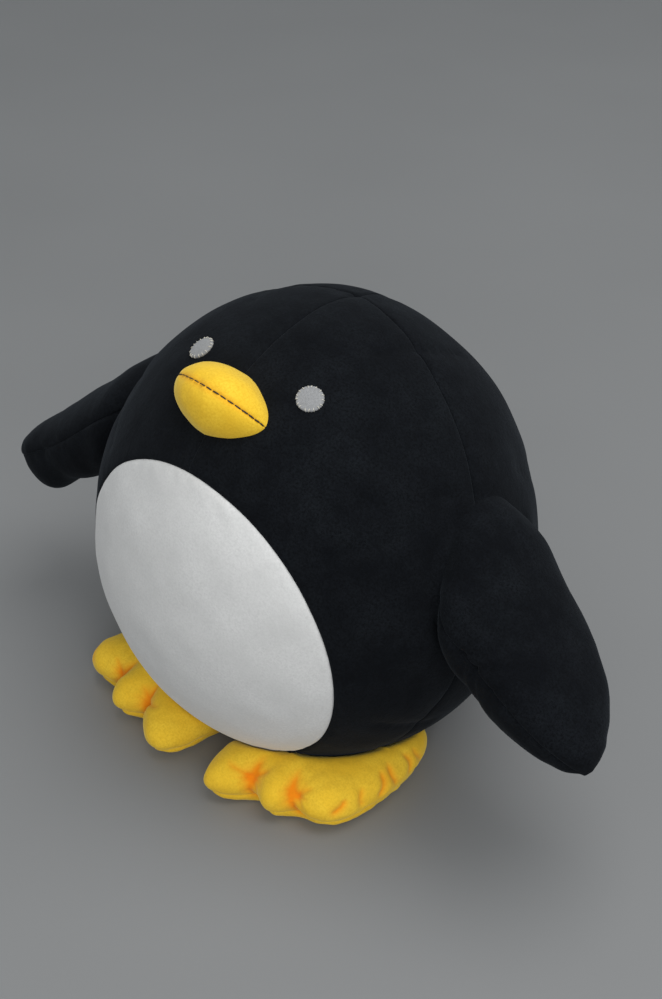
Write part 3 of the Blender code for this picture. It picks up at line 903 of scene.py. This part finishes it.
def foot_points(side, fraction, angle, part, ceiling, inset=0.0):
    """Points of the foot's top (part 0) or sole (part 1), before any thread draws it in."""
    reach = foot_reach(side, angle) - inset
    way = np.stack((np.cos(angle), np.sin(angle)), axis=1)
    edge_room = ceiling(FOOT_CENTRE + reach[:, None] * way) - 1.2 * MM
    widest = np.minimum(FOOT_WIDEST_HEIGHT, 0.60 * edge_room)
    seam = np.minimum(FOOT_SEAM_HEIGHT, 0.42 * edge_room)
    tuck = math.sin(FOOT_TUCK)
    if part == 0:
        turn = FOOT_TUCK * fraction
        share = np.sin(turn)
        dome = np.sqrt(np.maximum(0.0, 1 - share**FOOT_DOME_SQUARENESS))
        above = widest + (FOOT_HEIGHT - inset - widest) * dome
        below = widest - (widest - seam) * np.cos(turn) / math.cos(FOOT_TUCK)
        height = np.where(turn < math.pi / 2, above, below)
    else:
        share = fraction * tuck
        under = np.clip((fraction - 0.80) / 0.20, 0, 1)
        height = np.maximum(seam - seam * np.sqrt(np.maximum(0.0, 1 - under**2)), inset)
    plan = FOOT_CENTRE + (share * reach)[:, None] * way
    if part == 0:
        # Pressed flat under the body, with a soft edge to the pressed patch.
        limit = ceiling(plan) - 1.0 * MM - inset
        softness = 2.2 * MM
        pressed = -softness * np.logaddexp(-height / softness, -limit / softness)
        height = np.where(turn < math.pi / 2, np.maximum(pressed, widest), height)
        height = np.minimum(height, np.maximum(limit, seam))
    return np.column_stack((side * plan[:, 0], plan[:, 1], height))


def foot_pull(side, points, fraction, part, ceiling):
    """How far thread draws each point of the foot in, and how deep it is in a fold, from 0 to 1, which sets
    the painted shade of the fold.
    """
    pull, crease_shade = np.zeros(len(points)), np.zeros(len(points))
    steps = np.linspace(0, 1, 40)
    for number, (start, end, depth, width, valley) in enumerate(foot_folds(side)):
        direction, share = (start[i] + (end[i] - start[i]) * steps for i in (0, 1))
        direction = direction + 2.5 * (-1) ** number * np.sin(math.pi * steps)
        line = foot_points(side, share, np.radians(direction), 0, ceiling)
        gaps = np.linalg.norm(points[:, None, :] - line[None, :, :], axis=2)
        gap, along = gaps.min(axis=1), steps[gaps.argmin(axis=1)]
        run = smooth_step(0, 0.35, along) if valley > 2 else smooth_step(-0.5, 0.1, along)
        run = run * (1 if end[1] == 1 else 1 - smooth_step(0.6, 1.0, along))
        broad = 6.5 if valley > 2 else 3.2
        around_it = bump(gap, broad * MM)
        pull += run * MM * (depth * crease(gap, width * MM) + valley * around_it)
        # The fold's painted shade: strong along its sharp crease, faint across its valley.
        crease_shade += run * (0.50 * depth * crease(gap, 1.5 * width * MM) + 0.07 * valley * around_it)
    gap_lines = np.radians(TOE_GAPS[side])
    for dimple in foot_points(side, np.full(2, DIMPLE_AT), gap_lines, 0, ceiling):
        local = points - dimple
        gap = np.linalg.norm(local, axis=1)
        pull += DIMPLE_DEPTH * bump(gap, DIMPLE_WIDTH)
        # Painted shade in the dimple, and along the rays of creases round it.
        crease_shade += 0.30 * bump(gap, 1.1 * DIMPLE_WIDTH)
        round_it = np.arctan2(local[:, 2], local[:, 0])
        rays = np.cos(8 * round_it + 60 * gap) * np.exp(-gap / 0.008) * (1 - np.exp(-gap / 0.003))
        pull += 0.8 * MM * rays * (1 - smooth_step(0.9, 1.0, fraction))
        crease_shade += 0.25 * np.maximum(rays, 0)
    # Where folds meet they share their depth.
    pull = DEEPEST_PULL * np.tanh(pull / DEEPEST_PULL)
    near_seam = smooth_step(0.78, 1.0, fraction) if part == 1 else 1.0
    return pull * near_seam, np.clip(crease_shade * near_seam, 0, 1)


def draw_in(side, points, normals, fraction, angle, amount):
    """Moves points inward: along the skin's normals, and level towards the middle at the seam."""
    level = np.column_stack((side * np.cos(angle), np.sin(angle), np.zeros(len(angle))))
    at_seam = smooth_step(0.88, 1.0, fraction)[:, None]
    way = normals * (1 - at_seam) + level * at_seam
    way /= np.maximum(np.linalg.norm(way, axis=1), 1e-9)[:, None]
    return points - way * amount[:, None]


def make_foot(side, name, materials, skin):
    def ceiling(plan):
        heights = []
        for x, y in plan:
            hit = skin.ray_cast(Vector((side * x, y, -0.1)), Vector((0, 0, 1)))[0]
            heights.append(hit.z if hit else 1.0)
        return np.array(heights)

    bend = [(0.0, y, 0.0) for y in FOOT_BEND]
    rings, spokes = 72, 288
    fractions = np.linspace(0.02, 1, rings) ** 0.85
    around = math.tau * np.arange(spokes) / spokes
    fraction, angle = (grid.ravel() for grid in np.meshgrid(fractions, around, indexing="ij"))
    faces = grid_faces(rings, spokes, wrap=True) + [tuple(range(spokes - 1, -1, -1))]
    rim = (1 - fraction) * foot_reach(side, angle)
    toes = sum(
        puff * bump(np.degrees(turn_between(angle, toe[0])), 13)
        for puff, toe in zip(TOE_PUFFINESS[side], TOES[side])
    )
    for part, part_name in ((0, "top"), (1, "sole")):
        points = foot_points(side, fraction, angle, part, ceiling)
        normals = vertex_normals(points, faces)
        if normals[spokes: 9 * spokes, 2].mean() * (1 if part == 0 else -1) < 0:
            normals = -normals
        pull, crease_shade = foot_pull(side, points, fraction, part, ceiling)
        lumps = 0.30 * MM * ripple(points, 0.022, 71 + side) + 0.14 * MM * ripple(points, 0.008, 73)
        if part == 0:
            lumps += toes * bump(fraction - 0.66, 0.24)
        lumps += 0.40 * MM * ripple(points, 0.0075, 75) * np.exp(-rim / 0.006)
        lumps -= 0.9 * MM * crease(rim, 1.0 * MM)
        room = ceiling(points[:, :2] * (side, 1))
        free = 1.0 if part else smooth_step(0.0, 0.006, room - points[:, 2])
        keep = np.minimum(free, smooth_step(0.0, 0.003, points[:, 2]))
        moved = draw_in(side, points, normals, fraction, angle, (pull - lumps) * keep)
        moved[:, 2] = np.maximum(moved[:, 2], 0.0)
        if part == 0:
            moved[:, 2] = np.minimum(moved[:, 2], np.maximum(room - 0.6 * MM, points[:, 2]))
        panel = new_object(f"foot_{name}_{part_name}_panel_plush", moved, faces)
        face_out(panel, normals)
        # The painted shade of the folds and dimples, for the yellow plush's crease colour.
        store_value(panel, "crease", crease_shade)
        thicken(panel, YELLOW_FABRIC)
        node = f"foot_{name}_{part_name}_panel"
        place(panel, materials["yellow_plush"], node, f"foot_{name}", bend)
    make_foot_filling(side, name, materials, ceiling, bend)


def make_foot_filling(side, name, materials, ceiling, bend):
    rings, spokes = 24, 96
    shares = np.linspace(0.06, 0.94, rings)
    around = math.tau * np.arange(spokes) / spokes
    halves = []
    for part in (0, 1):
        fraction, angle = (grid.ravel() for grid in np.meshgrid(shares, around, indexing="ij"))
        skin_points = foot_points(side, fraction, angle, part, ceiling)
        points = foot_points(side, fraction, angle, part, ceiling, LIMB_FILL_INSET)
        pull, _ = foot_pull(side, skin_points, fraction, part, ceiling)
        faces = grid_faces(rings, spokes, wrap=True)
        normals = vertex_normals(points, faces)
        if normals[spokes: 9 * spokes, 2].mean() * (1 if part == 0 else -1) < 0:
            normals = -normals
        points = draw_in(side, points, normals, fraction, angle, 1.1 * pull)
        halves.append(points.reshape(rings, spokes, 3))
    upper, lower = halves
    upper[..., 2] = np.maximum(upper[..., 2], 3.6 * MM)
    lower[..., 2] = np.minimum(lower[..., 2], upper[..., 2] - 0.2 * MM)
    points = np.vstack((upper.reshape(-1, 3), lower[::-1].reshape(-1, 3)))
    faces = grid_faces(2 * rings, spokes, wrap=True)
    faces += [tuple(range(spokes)), tuple((2 * rings - 1) * spokes + i for i in range(spokes))]
    fill = new_object(f"foot_{name}_fibre_filling", points, faces)
    turn_outward(fill)
    place(fill, materials["stuffing"], f"foot_{name}_stuffing", f"foot_{name}", bend)


# ---------------------------------------------------------------- stage, light and camera


def make_stage():
    material, tree, shader = principled("floor_paper", 0.55)
    shader.inputs["Specular IOR Level"].default_value = 0.3
    grain = noise_at(tree, 3.0, detail=2.0)
    colour = blend_colours(tree, grain, 0.3, 0.7, (0.213, 0.217, 0.219), (0.225, 0.229, 0.231))
    tree.links.new(colour, shader.inputs["Base Color"])
    corners = [(x * FLOOR_SIZE, y * FLOOR_SIZE, 0) for x, y in ((-1, -1), (1, -1), (1, 1), (-1, 1))]
    floor = new_object("floor", corners, [(0, 1, 2, 3)], smooth=False)
    floor.data.materials.append(material)


def add_softbox(name, place_at, size, watts):
    light = bpy.data.lights.new(name, "AREA")
    light.shape = "DISK"
    light.size = size
    light.energy = watts
    obj = bpy.data.objects.new(name, light)
    obj.location = place_at
    obj.rotation_euler = (TOY_MIDDLE - place_at).to_track_quat("-Z", "Y").to_euler()
    bpy.context.scene.collection.objects.link(obj)


def view_axes():
    """The camera's directions: to its right, back from the toy, and up."""
    cos, sin = math.cos(CAMERA_AZIMUTH), math.sin(CAMERA_AZIMUTH)
    level, rise = math.cos(CAMERA_ELEVATION), math.sin(CAMERA_ELEVATION)
    right = Vector((cos, sin, 0.0))
    back = Vector((sin * level, -cos * level, rise))
    return right, back, back.cross(right)


def make_lights():
    world = bpy.data.worlds.new("studio")
    world.use_nodes = True
    background = world.node_tree.nodes["Background"]
    background.inputs["Color"].default_value = WORLD_COLOUR
    background.inputs["Strength"].default_value = WORLD_STRENGTH
    bpy.context.scene.world = world
    right, back, _ = view_axes()
    beyond = Vector((-back.x, -back.y, 0.0)).normalized()
    for name, (sideways, further, rise, size, watts) in LIGHTS.items():
        place_at = TOY_MIDDLE + right * sideways + beyond * further + Vector((0, 0, rise))
        add_softbox(name, place_at, size, watts)


def make_camera():
    right, back, up = view_axes()
    turn = Matrix((right, up, back)).transposed() @ Matrix.Rotation(CAMERA_ROLL, 3, "Z")
    camera = bpy.data.cameras.new("camera")
    camera.lens = CAMERA_LENS
    camera.sensor_width = 36.0
    obj = bpy.data.objects.new("camera", camera)
    where = Vector(BODY_CENTRE) + back * CAMERA_BACK + right * CAMERA_RIGHT + up * CAMERA_UP
    obj.matrix_world = Matrix.Translation(where) @ turn.to_4x4()
    bpy.context.scene.collection.objects.link(obj)
    bpy.context.scene.camera = obj
    bpy.context.scene.view_settings.view_transform = "Standard"


def main():
    make_camera()
    materials = make_materials()
    skin = make_body(materials)
    make_beak(materials)
    for side, name in SIDES:
        make_eye(side, name, materials, skin)
        make_wing(side, name, materials)
        make_foot(side, name, materials, skin)
    make_stage()
    make_lights()


main()
